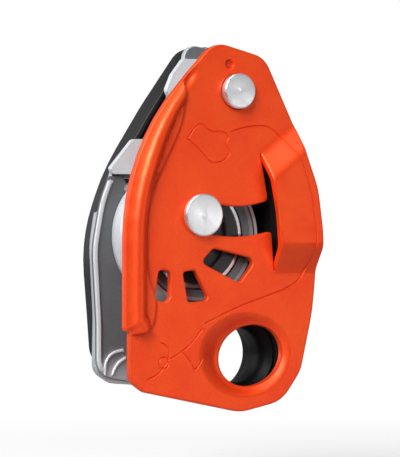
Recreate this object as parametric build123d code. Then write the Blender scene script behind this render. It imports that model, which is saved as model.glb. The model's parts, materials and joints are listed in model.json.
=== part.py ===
from build123d import *
import os

# Rope descender with an assisted-braking cam: two side plates, a grooved wheel that turns on an
# eccentric cam between them, and a folding release handle behind. Millimetres.
#
# X is to the right and Z is up, looking at the moving side plate. Y runs through the thickness,
# from the moving side plate (-Y) to the handle (+Y). The origin is the middle of the throat of
# the attachment bush. Every outline is in (x, z), and every pair of depths is (front, back) in Y.

# ---- where the axes are (x, z) ----
plate_pivot = (-5.6, 80.9)
cam_axis = (-18.0, 43.2)
wheel_axis = (-16.5, 36.8)
attachment = (0.0, 0.0)
handle_pivot = (-30.6, 6.4)

# ---- depths of the layers (y) ----
plate_front = -13.0
plate_thickness = 2.4
plate_back = plate_front + plate_thickness
bridge_height = 5.0
bead_height = 2.8
dish_depth = 3.4
wall_front = -9.8
boss_front = -6.6
wheel_front = -8.2
wheel_back = 7.9
insert_front = 8.3
frame_front = 9.0
frame_back = 11.5
crank_front = 12.2
crank_back = 15.0
grip_front = 12.8
grip_floor = 15.5
grip_back = 24.0

# ---- diameters and fits ----
pivot_head_r = 5.35
pivot_shank_r = 4.0
axle_head_r = 6.45
axle_shank_r = 4.0
axle_neck_r = 3.6
wheel_r = 21.1
cam_r = 14.6
throat_r = 8.4
throat_length = 5.0
side_bush_r = 5.2
crank_bush_r = 5.2
cam_bush_r = 5.6
wheel_bush_r = 16.2
bush_outer_r = 12.0
screw_r = 1.5
stop_pin_r = 1.4
drive_pin_r = 2.0
hinge_pin_r = 3.0
running_gap = 0.05
past = 1.0  # how far a cut runs beyond the face that it opens

# ---- the moving side plate's outline, corner by corner: x, z, corner radius ----
plate_left = -44.4
lip_end = 8.6
moving_outline = [
    (-13.2, 95.9, 8),
    (4.5, 91.6, 8),
    (15.2, 70.6, 12),
    (16.6, 62.5, 10),
    (20.9, 51.5, 25),
    (22.7, 38.5, 30),
    (23.1, 26.0, 40),
    (21.9, 13.5, 60),
    (17.6, -4.8, 11),
    (10.8, -14.0, 11),
    (-4.0, -17.0, 14),
    (-37.8, -9.8, 4),
    (-42.6, -6.4, 4),
    (-42.6, lip_end, 0),
    (plate_left, lip_end, 0),
    (plate_left, 62.7, 68),
]

# ---- the fixed side plate's outline ----
fixed_outline = [
    (-11.0, 96.6, 4),
    (4.3, 94.5, 9),
    (16.0, 70.0, 30),
    (22.0, 48.0, 30),
    (22.0, 16.0, 30),
    (17.5, -6.5, 12),
    (9.0, -17.4, 10),
    (-7.0, -15.6, 30),
    (-26.0, -9.3, 40),
    (-38.0, -8.3, 5),
    (-44.2, -4.8, 5),
    (-43.8, 12.0, 60),
    (-45.2, 34.0, 30),
    (-43.0, 44.1, 0),
    (-41.2, 44.1, 0),
    (-36.6, 57.0, 1.5),
    (-30.2, 65.4, 2),
    (-25.2, 65.4, 3),
    (-20.2, 74.2, 20),
    (-16.8, 79.6, 3),
    (-17.4, 83.0, 2),
    (-11.6, 91.4, 2),
]

# ---- the handle's outline, folded ----
grip_outline = [
    (-6.8, 96.0, 8),
    (4.0, 96.4, 5),
    (3.0, 84.0, 9),
    (-15.0, 66.5, 40),
    (-26.0, 48.0, 28),
    (-27.0, 30.0, 24),
    (-22.2, 14.0, 12),
    (-22.2, -4.2, 8),
    (-38.0, -4.2, 7),
    (-39.2, 12.0, 60),
    (-41.2, 36.0, 50),
    (-33.6, 57.2, 70),
    (-20.4, 77.4, 90),
]

os.makedirs("parts", exist_ok=True)


# ---- small helpers ----
def at(point):
    return Pos(point[0], point[1])


def outline(corners):
    points = [(x, z) for x, z, radius in corners]
    radii = [radius for x, z, radius in corners]
    return make_face(FilletPolyline(*points, radius=radii, close=True))


def slab(profile, front, back):
    plane = Plane.XZ.offset(-front)
    return extrude(plane * profile, front - back)


def disc(centre, radius, front, back):
    return slab(at(centre) * Circle(radius), front, back)


def ring(centre, outer, inner, front, back):
    return disc(centre, outer, front, back) - disc(centre, inner, front - past, back + past)


def turned(centre, profile):
    """Solid of revolution about the Y axis through centre; profile is a list of (radius, y)."""
    face = make_face(Polyline(*[(r, y) for r, y in profile], close=True))
    body = revolve(face, Axis.Y)
    return Pos(centre[0], 0, centre[1]) * body


def radial(centre, radius, angle):
    """The point at a radius and an angle (degrees from +X towards +Z) about a centre."""
    offset = Vector(radius, 0).rotate(Axis.Z, angle)
    return (centre[0] + offset.X, centre[1] + offset.Y)


def distance(a, b):
    return (Vector(*a) - Vector(*b)).length


def arc_slot(centre, radius, half_width, start, end):
    """Slot that follows an arc about a centre, between two angles, with round ends."""
    middle = CenterArc(centre, radius, start, end - start)
    return SlotArc(middle, 2 * half_width)


def save(node, shape):
    shape.label = node
    export_step(shape, "parts/" + node + ".step")


# ---- moving side plate ----
bead_width = 7.8
bead_start = lip_end + 0.3
bead_inset = 0.4
bead_line = plate_left + bead_inset + bead_width / 2
bead_hollow = 5.8
slot_half_width = 4.6
slot_angles = (-108.2, -72.0)
bridge_crease_angle = 37.5


def bead_path():
    low = (bead_line, 0, bead_start)
    bend = (bead_line, 0, 60.7)
    high = (-15.0, 0, 87.4)
    return FilletPolyline(low, bend, high, radius=64)


def bead_section(half_width, top, base):
    """Arched section of the bead: from one foot over the top to the other foot."""
    plane = Plane(origin=(bead_line, 0, bead_start), x_dir=(1, 0, 0), z_dir=(0, 0, 1))
    arch = ThreePointArc((-half_width, base), (0, top), (half_width, base))
    return plane * make_face(Curve() + [arch, Line(arch @ 1, arch @ 0)])


def bridge_ramp(low_edge, high_edge, crease_angle):
    """Sloping end of the bridge, from the sheet's level up to the bridge's own level."""
    crease = Vector(1, 0).rotate(Axis.Z, crease_angle)
    across = Vector(-crease.Y, crease.X)
    rise = (Vector(*high_edge) - Vector(*low_edge)).dot(across)
    plane = Plane(
        origin=(low_edge[0], plate_front, low_edge[1]),
        x_dir=(across.X, 0, across.Y),
        z_dir=(crease.X, 0, crease.Y),
    )
    side = plane.y_dir.Y
    profile = Polyline(
        (0, 0),
        (rise, -side * bridge_height),
        (rise, side * (plate_thickness - bridge_height)),
        (0, side * plate_thickness),
        close=True,
    )
    return extrude(plane * make_face(profile), 40, both=True)


def bridge_strip(top_edge, middle_edge, bottom_edge):
    """Everything to the right of the sheared edge, between two creases."""
    beyond = 50.0
    return make_face(Polyline(
        *top_edge, *middle_edge, *bottom_edge,
        radial(bottom_edge[-1], beyond, 0), radial(top_edge[0], beyond, bridge_crease_angle), close=True,
    ))


def plate_with_bridge():
    """Flat sheet with a strap on its right, raised in one press between two creases."""
    sheet = outline(moving_outline)
    upper_crease = (3.0, 62.0)
    raised_upper_crease = (4.6, 54.2)
    raised_lower_crease = (7.4, 33.6)
    lower_crease = (7.9, 26.4)
    inner_edge = [(6.4, 44.5), (7.0, 38.5)]
    strip = bridge_strip([upper_crease, raised_upper_crease], inner_edge, [raised_lower_crease, lower_crease])
    raised = bridge_strip([raised_upper_crease], inner_edge, [raised_lower_crease])
    flat_part = slab(sheet - strip, plate_front, plate_back)
    top = plate_front - bridge_height
    strip_space = slab(sheet & strip, top, plate_back)
    bridge = slab(sheet & raised, top, top + plate_thickness)
    upper = bridge_ramp(upper_crease, raised_upper_crease, bridge_crease_angle) & strip_space
    lower = bridge_ramp(lower_crease, raised_lower_crease, 0) & strip_space
    return flat_part + bridge + upper + lower


def with_bead(plate):
    """Adds the hollow bead that stiffens the left edge."""
    foot = 0.2
    bead = sweep(bead_section(bead_width / 2, plate_front - bead_height, plate_front + foot), bead_path())
    hollow = sweep(bead_section(bead_hollow / 2, plate_front - 0.5, plate_back + foot), bead_path())
    return plate + bead - hollow


def with_dish(plate):
    """Presses the sheet back round the attachment hole, and cuts the hole."""
    wall = 1.0
    rim = Pos(-3.0, 0.6) * Ellipse(15.2, 12.4)
    floor = at(attachment) * Ellipse(10.8, 9.4)
    outer_floor = at(attachment) * Ellipse(12.0, 10.6)
    back_rim = Plane.XZ.offset(-plate_back + 0.2) * rim
    back_floor = Plane.XZ.offset(-plate_back - dish_depth + wall) * outer_floor
    front_rim = Plane.XZ.offset(-plate_front) * rim
    front_floor = Plane.XZ.offset(-plate_front - dish_depth + 0.6) * floor
    plate = plate + loft([back_rim.face(), back_floor.face()])
    plate = plate - loft([front_rim.face(), front_floor.face()])
    return plate - slab(floor, plate_front - past, plate_back + dish_depth)


def moving_side_plate():
    plate = with_dish(with_bead(plate_with_bridge()))
    slot = arc_slot(plate_pivot, distance(plate_pivot, cam_axis), slot_half_width, *slot_angles)
    plate = plate - slab(slot, plate_front - 0.05, plate_back + past)
    for corners in side_windows():
        plate = plate - slab(outline(corners), plate_front - bead_height - past, plate_back + past)
    plate = plate - disc(plate_pivot, side_bush_r, plate_front - past, plate_back + past)
    dimple = (plate_pivot[0] - 2.4, plate_pivot[1] + 8.2)
    dimple_r, dimple_depth = 1.6, 0.9
    return plate - disc(dimple, dimple_r, plate_front - past, plate_front + dimple_depth)


def side_windows():
    """Three tapered windows that fan out below the cam axle."""
    right = [(-13.6, 33.1, 1.6), (1.6, 29.7, 1.8), (-4.4, 22.4, 1.8), (-18.0, 28.9, 1.2)]
    middle = [(-24.4, 26.0, 1.0), (-20.2, 26.6, 1.2), (-15.1, 17.4, 1.2), (-22.5, 16.6, 1.2)]
    left = [
        (-32.6, 26.7, 1.2),
        (-28.6, 26.4, 1.2),
        (-28.8, 18.0, 1.6),
        (-30.6, 16.8, 1.0),
        (-34.0, 18.0, 1.0),
    ]
    return [right, middle, left]


# ---- bush of the moving side plate, pressed into it and turning on the pivot axle ----
def side_plate_bush():
    inner = pivot_shank_r + running_gap
    return ring(plate_pivot, side_bush_r, inner, plate_front, plate_back)


# ---- top pivot: axle, washers, sleeve and rear washer ----
pivot_sleeve_front = plate_back + 1.0


def plate_pivot_axle():
    head = turned(plate_pivot, [
        (0, plate_front - 2.4),
        (pivot_head_r - 0.6, plate_front - 2.4),
        (pivot_head_r, plate_front - 1.8),
        (pivot_head_r, plate_front - 0.3),
        (0, plate_front - 0.3),
    ])
    shank = disc(plate_pivot, pivot_shank_r, plate_front - 0.3, frame_back)
    rear = turned(plate_pivot, [
        (0, frame_back),
        (5.4, frame_back),
        (4.6, frame_back + 0.8),
        (0, frame_back + 0.8),
    ])
    return head + shank + rear


def pivot_wave_washer():
    return ring(plate_pivot, 7.0, pivot_shank_r + 0.1, plate_back + 0.35, pivot_sleeve_front)


def pivot_sleeve():
    return turned(plate_pivot, [
        (pivot_shank_r, pivot_sleeve_front),
        (6.6, pivot_sleeve_front),
        (7.2, pivot_sleeve_front + 0.6),
        (6.2, pivot_sleeve_front + 4.0),
        (6.2, insert_front - 4.0),
        (7.2, insert_front - 0.6),
        (7.2, insert_front),
        (pivot_shank_r, insert_front),
    ])


# ---- fixed side plate ----
drive_r = 11.0
drive_half_width = 2.6
drive_rest = 248.0
crank_travel = 20.0
cam_travel = 25.0
screw_points = [(13.2, 60.6), (17.4, 31.0), (-11.6, 14.6), (15.4, 0.6)]
insert_rivet_points = [(-27.0, 9.0), (-20.4, -3.6), (-31.6, 51.4)]
guide_rivet_points = [(-17.6, 69.6), (-27.4, 61.0)]
stop_r = 9.4
stop_angle = 190.0


def fixed_side_plate():
    plate = slab(outline(fixed_outline), frame_front, frame_back)
    plate = plate - disc(plate_pivot, pivot_shank_r, frame_front - past, frame_back + past)
    plate = plate - disc(cam_axis, axle_shank_r, frame_front - past, frame_back + past)
    plate = plate - disc(attachment, bush_outer_r, frame_front - past, frame_back + past)
    stop = radial(cam_axis, stop_r, stop_angle)
    plate = plate - disc(stop, stop_pin_r, frame_front - past, frame_back + past)
    window = arc_slot(cam_axis, drive_r, drive_half_width, drive_rest - 4, drive_rest + crank_travel + 4)
    plate = plate - slab(window, frame_front - past, frame_back + past)
    for point in screw_points + insert_rivet_points + guide_rivet_points:
        plate = plate - disc(point, screw_r, frame_front - past, frame_back + past)
        plate = plate - countersink(point, frame_back)
    return plate


def countersink(point, face):
    return turned(point, [(0, face - 1.5), (screw_r, face - 1.5), (screw_r + 1.5, face), (0, face)])


# ---- wear insert: the polished stainless sheet that the rope runs over at the left ----
lip_height = 1.0


def rope_wear_insert():
    sheet = outline([
        (-38.4, 55.2, 1),
        (-30.6, 55.2, 3),
        (-35.6, 44.0, 10),
        (-32.0, 16.0, 10),
        (-14.8, 10.6, 8),
        (-14.8, -9.6, 5),
        (-28.0, -8.4, 12),
        (-42.8, -5.6, 6),
        (-42.8, 10.0, 60),
        (-44.2, 33.0, 30),
        (-41.6, 47.2, 30),
    ])
    plate = slab(sheet, insert_front, frame_front)
    edge = sheet - offset(sheet, -1.3)
    left_side = make_face(
        Polyline((-60, -4), (-41.4, -4), (-41.4, 33), (-39.4, 45), (-34.6, 54.6), (-60, 54.6), close=True)
    )
    plate = plate + slab(edge & left_side, insert_front - lip_height, insert_front)
    return drill_rivets(plate, insert_rivet_points)


def wear_insert_rivets():
    return flush_rivets(insert_rivet_points, insert_front)


def flush_rivets(points, front):
    """Rivets with a flush front end and a countersunk tail in the fixed side plate."""
    rivets = []
    for point in points:
        shank = disc(point, screw_r, front, frame_back - 1.5)
        rivets.append(shank + countersink(point, frame_back))
    return Compound(children=rivets)


def drill_rivets(plate, points):
    for point in points:
        plate = plate - disc(point, screw_r, frame_front - 6, frame_back + past)
    return plate


# ---- brake-side guide: polished steel strip at the rope's exit, with a tab at each end ----
guide_front = 6.8


def brake_guide():
    strip = outline([
        (-12.8, 91.8, 0.8),
        (-3.8, 91.8, 1),
        (-4.4, 89.4, 1),
        (-14.0, 86.4, 3),
        (-12.4, 75.6, 6),
        (-15.4, 64.0, 6),
        (-20.5, 62.0, 6),
        (-31.0, 55.8, 2),
        (-37.6, 55.8, 1),
        (-38.4, 57.6, 1),
        (-30.6, 66.6, 2),
        (-25.6, 66.6, 2),
        (-16.4, 77.6, 3),
        (-19.0, 81.8, 2),
        (-16.8, 86.8, 3),
    ])
    return drill_rivets(slab(strip, guide_front, frame_front), guide_rivet_points)


def brake_guide_rivets():
    return flush_rivets(guide_rivet_points, guide_front)


# ---- moulded rope guard: the wall on the right, and the boss round the attachment bush ----
guard_r = 26.0


def rope_guard():
    band = outline([
        (2.2, 66.0, 3),
        (8.4, 72.4, 5),
        (18.4, 52.0, 30),
        (20.4, 38.0, 30),
        (20.6, 14.0, 30),
        (17.0, -6.0, 8),
        (7.0, -14.4, 12),
        (-14.2, -11.8, 8),
        (-14.8, 13.6, 6),
    ])
    boss = outline([
        (-30.0, 14.2, 0),
        (40.0, 14.2, 0),
        (40.0, -30.0, 0),
        (-30.0, -30.0, 0),
    ])
    wall = slab(band - boss, wall_front, frame_front) + slab(band & boss, boss_front, frame_front)
    wall = wall - disc(wheel_axis, guard_r, wall_front - past, frame_front + past)
    wall = wall - disc(attachment, bush_outer_r, boss_front - 4, frame_front + past)
    for point in screw_points:
        wall = wall - disc(point, screw_r, frame_front - 8.5, frame_front + past)
    return wall


def guard_screws():
    screws = []
    for point in screw_points:
        shank = disc(point, screw_r, frame_front - 8.0, frame_back - 1.5)
        head = countersink(point, frame_back)
        socket = slab(at(point) * RegularPolygon(1.1, 6), frame_back - 1.4, frame_back + past)
        screws.append(shank + head - socket)
    return Compound(children=screws)


# ---- attachment bush: waisted, with a short straight throat ----
def attachment_bush():
    half = throat_length / 2
    back = frame_back + 0.6
    return turned(attachment, [
        (bush_outer_r, boss_front),
        (bush_outer_r, back),
        (11.2, back),
        (10.0, back - 3.4),
        (8.9, half + 2.4),
        (throat_r, half),
        (throat_r, -half),
        (8.9, -half - 1.6),
        (10.2, boss_front + 0.8),
        (10.9, boss_front),
    ])


# ---- cam axle, its washers and rear collar ----
axle_head_back = plate_front - 0.25
axle_head_front = axle_head_back - 1.9
cam_front = -7.6
cam_back = 7.2


def cam_axle():
    head = turned(cam_axis, [
        (0, axle_head_front),
        (axle_head_r - 0.5, axle_head_front),
        (axle_head_r, axle_head_front + 0.5),
        (axle_head_r, axle_head_back),
        (0, axle_head_back),
    ])
    neck = disc(cam_axis, axle_neck_r, axle_head_back, plate_back + 0.6)
    collar = disc(cam_axis, 5.6, plate_back + 0.6, plate_back + 1.6)
    shank = disc(cam_axis, axle_shank_r, plate_back + 1.6, crank_back + 0.8)
    return head + neck + collar + shank


def cam_thrust_washer():
    return ring(cam_axis, 7.0, axle_shank_r, plate_back + 1.6, cam_front - 0.3)


def axle_rear_collar():
    return ring(cam_axis, 6.2, axle_shank_r, cam_back + 0.3, frame_front)


def axle_rear_head():
    return turned(cam_axis, [
        (axle_shank_r, crank_back + 0.2),
        (6.4, crank_back + 0.2),
        (6.4, crank_back + 0.9),
        (5.4, crank_back + 2.0),
        (0, crank_back + 2.3),
        (0, crank_back + 0.8),
        (axle_shank_r, crank_back + 0.8),
    ])


def cam_stop_pin():
    return disc(radial(cam_axis, stop_r, stop_angle), stop_pin_r, cam_back - 4.0, frame_back)


# ---- cam: eccentric disc, its bush, and the ring that keeps the wheel on it ----
cam_face_recess = (11.3, 8.2, 2.0)  # outer radius, inner radius, depth
retaining_front = cam_front + 0.6
retaining_back = cam_front + 1.6
retaining_depth = 0.7
spring_seat_r = 8.0
spring_seat_depth = 3.2
swept = crank_travel + cam_travel


def eccentric_cam():
    cam = disc(wheel_axis, cam_r, cam_front, cam_back)
    cam = cam + disc(wheel_axis, cam_r + 0.9, cam_back - 1.0, cam_back)
    cam = cam - disc(cam_axis, cam_bush_r, cam_front - past, cam_back + past)
    outer, inner, depth = cam_face_recess
    cam = cam - ring(wheel_axis, outer, inner, cam_front - past, cam_front + depth)
    retaining_floor = cam_r - retaining_depth
    cam = cam - ring(wheel_axis, cam_r + past, retaining_floor, retaining_front, retaining_back)
    drive = arc_slot(cam_axis, drive_r, drive_pin_r + 0.5, drive_rest - 3, drive_rest + swept + 3)
    cam = cam - slab(drive, cam_back - 5.5, cam_back + past)
    stop = arc_slot(cam_axis, stop_r, stop_pin_r + 0.3, stop_angle - 1, stop_angle + cam_travel + 1)
    cam = cam - slab(stop, cam_back - 4.5, cam_back + past)
    seat_floor = cam_back - spring_seat_depth
    return cam - ring(cam_axis, spring_seat_r, cam_bush_r - 0.1, seat_floor, cam_back + past)


def cam_bush():
    bush_back = cam_back - spring_seat_depth
    return ring(cam_axis, cam_bush_r, axle_shank_r + running_gap, cam_front - 0.2, bush_back)


def wheel_retaining_ring():
    """Snap ring, open at one place."""
    front, back = retaining_front + running_gap, retaining_back - running_gap
    whole = ring(wheel_axis, cam_r + 1.3, cam_r - retaining_depth, front, back)
    open_at = 118
    gap = at(radial(wheel_axis, cam_r, open_at)) * Rot(0, 0, open_at) * Rectangle(6, 3.4)
    return whole - slab(gap, cam_front - past, cam_back)


def cam_return_spring():
    turns = 3
    wire = 0.7
    pitch = 0.8
    coil = Helix(pitch=pitch, height=turns * pitch, radius=6.7)
    section = Plane(origin=coil @ 0, z_dir=coil % 0) * Circle(wire / 2)
    body = sweep(section, coil, is_frenet=True)
    stand = Rot(90, 0, 0) * body
    return Pos(cam_axis[0], cam_back - 0.35, cam_axis[1]) * stand


# ---- wheel: two flanges, a grooved rope ring with ribs, its bush, and six rivets ----
groove_floor_r = wheel_bush_r + 1.8
ring_front = -5.0
ring_back = 5.2
wheel_rivet_circle = wheel_bush_r + 0.95
wheel_rivet_r = 0.6
wheel_rivet_count = 6
rib_count = 18


def wheel_bush():
    return ring(wheel_axis, wheel_bush_r, cam_r + running_gap, cam_front + 2.0, cam_back - 1.4)


def wheel_flange(rim_side, hub_side):
    """Dished flange: a thin rim that slopes in to a thicker hub."""
    lean = 1 if hub_side > rim_side else -1
    return turned(wheel_axis, [
        (wheel_bush_r, rim_side + 0.9 * lean),
        (wheel_r - 4.6, rim_side + 0.9 * lean),
        (wheel_r - 1.4, rim_side),
        (wheel_r, rim_side),
        (wheel_r, rim_side + 1.3 * lean),
        (wheel_r - 1.8, rim_side + 1.9 * lean),
        (groove_floor_r, hub_side),
        (wheel_bush_r, hub_side),
    ])


def wheel_front_flange():
    return drill_wheel(wheel_flange(wheel_front, ring_front))


def wheel_rear_flange():
    return drill_wheel(wheel_flange(wheel_back, ring_back))


def wheel_rivet_points():
    step = 360 / wheel_rivet_count
    return [radial(wheel_axis, wheel_rivet_circle, step * index) for index in range(wheel_rivet_count)]


def drill_wheel(piece):
    for point in wheel_rivet_points():
        piece = piece - disc(point, wheel_rivet_r, wheel_front - past, wheel_back + past)
    return piece


def rope_ring():
    """Hub between the flanges, waisted and scalloped so that the rope wedges into it."""
    body = turned(wheel_axis, [
        (wheel_bush_r, ring_front),
        (groove_floor_r, ring_front),
        (groove_floor_r, ring_front + 1.6),
        (groove_floor_r - 0.1, 0.1),
        (groove_floor_r, ring_back - 1.6),
        (groove_floor_r, ring_back),
        (wheel_bush_r, ring_back),
    ])
    step = 360 / rib_count
    for index in range(rib_count):
        point = radial(wheel_axis, groove_floor_r + 0.4, step * (index + 0.5))
        body = body - disc(point, 0.8, ring_front - past, ring_back + past)
    return drill_wheel(body)


def wheel_rivets():
    front, back = wheel_front + 0.9, wheel_back - 0.9
    return Compound(children=[disc(point, wheel_rivet_r, front, back) for point in wheel_rivet_points()])


# ---- release crank, its drive pin and the handle's hinge pin ----
hub_r = 9.6
end_r = 6.2


def release_crank():
    hub = at(cam_axis) * Circle(hub_r)
    end = at(handle_pivot) * Circle(end_r)
    web = make_hull((hub + end).edges())
    crank = slab(web, crank_front, crank_back)
    crank = crank - disc(cam_axis, crank_bush_r, crank_front - past, crank_back + past)
    crank = crank - disc(handle_pivot, hinge_pin_r, crank_front - past, crank_back + past)
    drive = radial(cam_axis, drive_r, drive_rest)
    return crank - disc(drive, drive_pin_r, crank_front - past, crank_back + past)


def crank_bush():
    return ring(cam_axis, crank_bush_r, axle_shank_r + running_gap, crank_front, crank_back)


def crank_spacer():
    return ring(cam_axis, 8.2, axle_shank_r, frame_back, crank_front - 0.2)


def crank_drive_pin():
    point = radial(cam_axis, drive_r, drive_rest)
    return disc(point, drive_pin_r, cam_back - 5.0, crank_back)


def handle_hinge_pin():
    front = disc(handle_pivot, hinge_pin_r + 1.0, crank_front - 0.3, crank_front)
    shank = disc(handle_pivot, hinge_pin_r, crank_front, hinge_head_front)
    head = turned(handle_pivot, [
        (0, hinge_head_front),
        (5.2, hinge_head_front),
        (5.2, hinge_head_front + 0.9),
        (4.4, hinge_head_front + 1.8),
        (0, hinge_head_front + 2.0),
    ])
    return front + shank + head


def handle_wave_washer():
    return ring(handle_pivot, 6.0, hinge_pin_r + 0.1, crank_back, grip_floor - 0.1)


# ---- folding handle: moulded grip over a pressed steel core ----
hinge_head_front = 21.6
core_front = 17.0
core_back = 18.8
grip_rim = 2.0
grip_crown = 2.0
hinge_head_clearance_r = 6.2


def handle_grip():
    full = outline(grip_outline)
    body = slab(full, grip_floor, grip_back)
    body = chamfer(body.faces().sort_by(Axis.Y)[-1].outer_wire().edges(), grip_crown)
    rim = full - offset(full, -grip_rim)
    left_side = make_face(Polyline(
        (-60, 3), (-37.0, 3), (-37.0, 44), (-9.0, 84), (10, 84), (10, 120), (-60, 120), close=True,
    ))
    body = body + slab(rim & left_side, grip_front, grip_floor)
    body = body - slab(handle_core_outline(), core_front, core_back)
    body = body - disc(handle_pivot, hinge_head_clearance_r, hinge_head_front - 0.3, grip_back + past)
    return body - disc(handle_pivot, hinge_pin_r + running_gap, grip_floor - past, grip_back + past)


def handle_core_outline():
    return outline([
        (-34.4, 1.6, 2.4),
        (-26.8, 1.6, 2.4),
        (-30.0, 34.0, 40),
        (-26.4, 54.0, 40),
        (-11.4, 78.0, 30),
        (-3.0, 88.0, 2.4),
        (-7.6, 91.2, 2.4),
        (-26.6, 66.0, 60),
        (-37.0, 42.0, 50),
        (-36.8, 14.0, 30),
    ])


def handle_core():
    core = slab(handle_core_outline(), core_front, core_back)
    return core - disc(handle_pivot, hinge_pin_r + running_gap, core_front - past, core_back + past)


PIECES = {
    "moving_side_plate": moving_side_plate,
    "side_plate_bush": side_plate_bush,
    "plate_pivot_axle": plate_pivot_axle,
    "pivot_wave_washer": pivot_wave_washer,
    "pivot_sleeve": pivot_sleeve,
    "fixed_side_plate": fixed_side_plate,
    "rope_wear_insert": rope_wear_insert,
    "wear_insert_rivets": wear_insert_rivets,
    "brake_guide": brake_guide,
    "brake_guide_rivets": brake_guide_rivets,
    "rope_guard": rope_guard,
    "guard_screws": guard_screws,
    "attachment_bush": attachment_bush,
    "cam_axle": cam_axle,
    "cam_thrust_washer": cam_thrust_washer,
    "axle_rear_collar": axle_rear_collar,
    "axle_rear_head": axle_rear_head,
    "cam_stop_pin": cam_stop_pin,
    "eccentric_cam": eccentric_cam,
    "cam_bush": cam_bush,
    "wheel_retaining_ring": wheel_retaining_ring,
    "cam_return_spring": cam_return_spring,
    "wheel_bush": wheel_bush,
    "wheel_front_flange": wheel_front_flange,
    "wheel_rear_flange": wheel_rear_flange,
    "rope_ring": rope_ring,
    "wheel_rivets": wheel_rivets,
    "release_crank": release_crank,
    "crank_bush": crank_bush,
    "crank_spacer": crank_spacer,
    "crank_drive_pin": crank_drive_pin,
    "handle_hinge_pin": handle_hinge_pin,
    "handle_wave_washer": handle_wave_washer,
    "handle_grip": handle_grip,
    "handle_core": handle_core,
}

for node, make in PIECES.items():
    save(node, make())
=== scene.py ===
import json
import math

import bpy
import numpy as np
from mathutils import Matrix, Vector
from mathutils.geometry import delaunay_2d_cdt


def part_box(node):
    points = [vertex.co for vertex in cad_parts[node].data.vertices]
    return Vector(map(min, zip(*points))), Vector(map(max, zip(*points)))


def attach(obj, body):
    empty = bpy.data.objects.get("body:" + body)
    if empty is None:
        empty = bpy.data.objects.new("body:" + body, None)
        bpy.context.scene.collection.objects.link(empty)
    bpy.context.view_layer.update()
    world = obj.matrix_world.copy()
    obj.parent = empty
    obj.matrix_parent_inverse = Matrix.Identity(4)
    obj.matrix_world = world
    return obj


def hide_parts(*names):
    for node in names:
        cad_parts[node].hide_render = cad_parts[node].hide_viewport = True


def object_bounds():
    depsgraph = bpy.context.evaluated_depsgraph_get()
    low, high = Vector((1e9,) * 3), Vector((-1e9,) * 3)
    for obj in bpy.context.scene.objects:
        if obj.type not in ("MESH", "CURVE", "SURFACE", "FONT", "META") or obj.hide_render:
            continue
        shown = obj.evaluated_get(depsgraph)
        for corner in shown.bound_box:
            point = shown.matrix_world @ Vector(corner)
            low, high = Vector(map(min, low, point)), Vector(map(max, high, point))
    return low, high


# Rope descender: an orange pressed side plate that swings on the top axle, a wheel on an eccentric
# cam behind it, a grey side plate with a steel wear insert, and a black folding handle.
# Shapes are worked out in millimetres in the CAD frame (X right, Z up, Y to the rear), as (x, z)
# outlines with y depths, and become metres when a mesh is made.

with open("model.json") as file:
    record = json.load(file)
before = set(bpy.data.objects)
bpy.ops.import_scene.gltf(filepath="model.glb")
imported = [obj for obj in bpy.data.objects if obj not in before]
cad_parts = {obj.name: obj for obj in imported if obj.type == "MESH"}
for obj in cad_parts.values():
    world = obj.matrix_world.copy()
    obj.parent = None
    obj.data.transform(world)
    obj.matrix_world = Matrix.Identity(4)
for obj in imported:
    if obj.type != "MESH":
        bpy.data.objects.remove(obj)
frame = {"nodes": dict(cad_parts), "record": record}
cad_low, cad_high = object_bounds()
MM = 0.001


# ---- places and levels, from the frame ----
def node_box(node):
    low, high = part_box(node)
    return low / MM, high / MM


def middle(node):
    low, high = node_box(node)
    return ((low.x + high.x) / 2, (low.z + high.z) / 2)


pivot = middle("side_plate_bush")
cam_axis = middle("cam_bush")
wheel_axis = middle("wheel_bush")
hinge = middle("handle_wave_washer")
throat = middle("attachment_bush")
sheet_front = node_box("side_plate_bush")[0].y
sheet_back = node_box("side_plate_bush")[1].y
frame_front = node_box("rope_wear_insert")[1].y
insert_front = node_box("wear_insert_rivets")[0].y


# ---- outlines ----
def rounded(corners, arc_step=12.0):
    """Closed outline through (x, z, radius) corners, each corner an arc that touches both its runs."""
    points = []
    count = len(corners)
    for i, (x, z, radius) in enumerate(corners):
        here = np.array([x, z], float)
        before = np.array(corners[i - 1][:2], float) - here
        after = np.array(corners[(i + 1) % count][:2], float) - here
        before /= np.linalg.norm(before)
        after /= np.linalg.norm(after)
        inside = math.acos(float(np.clip(before @ after, -1, 1)))
        if radius <= 0 or inside > math.pi - 1e-3:
            points.append(here)
            continue
        bisector = (before + after) / np.linalg.norm(before + after)
        centre = here + bisector * radius / math.sin(inside / 2)
        first = here + before * radius / math.tan(inside / 2) - centre
        turn = math.pi - inside
        if before[0] * after[1] - before[1] * after[0] > 0:
            turn = -turn
        steps = max(2, math.ceil(abs(math.degrees(turn)) / arc_step))
        for k in range(steps + 1):
            angle = turn * k / steps
            c, s = math.cos(angle), math.sin(angle)
            points.append(centre + np.array([c * first[0] - s * first[1], s * first[0] + c * first[1]]))
    return np.array(points)


def even(line, spacing, closed=True):
    """The same line with points at even spacing."""
    line = np.asarray(line, float)
    if closed:
        line = np.vstack([line, line[:1]])
    lengths = np.concatenate([[0], np.cumsum(np.hypot(*np.diff(line, axis=0).T))])
    count = max(3, int(round(lengths[-1] / spacing)))
    at = np.linspace(0, lengths[-1], count + 1)
    points = np.column_stack([np.interp(at, lengths, line[:, 0]), np.interp(at, lengths, line[:, 1])])
    return points[:-1] if closed else points


def smooth(corners, spacing, closed=False):
    """Soft curve near a few corner points: each pass cuts every corner at a quarter of its runs."""
    line = np.asarray(corners, float)
    for _ in range(4):
        following = np.roll(line, -1, axis=0)
        near, far = 0.75 * line + 0.25 * following, 0.25 * line + 0.75 * following
        cut = np.stack([near, far], axis=1).reshape(-1, 2)
        line = cut if closed else np.vstack([line[:1], cut[:-2], line[-1:]])
    return even(line, spacing, closed)


def circle(centre, radius, spacing=0.5):
    return ellipse(centre, radius, radius, 0, spacing)


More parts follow.
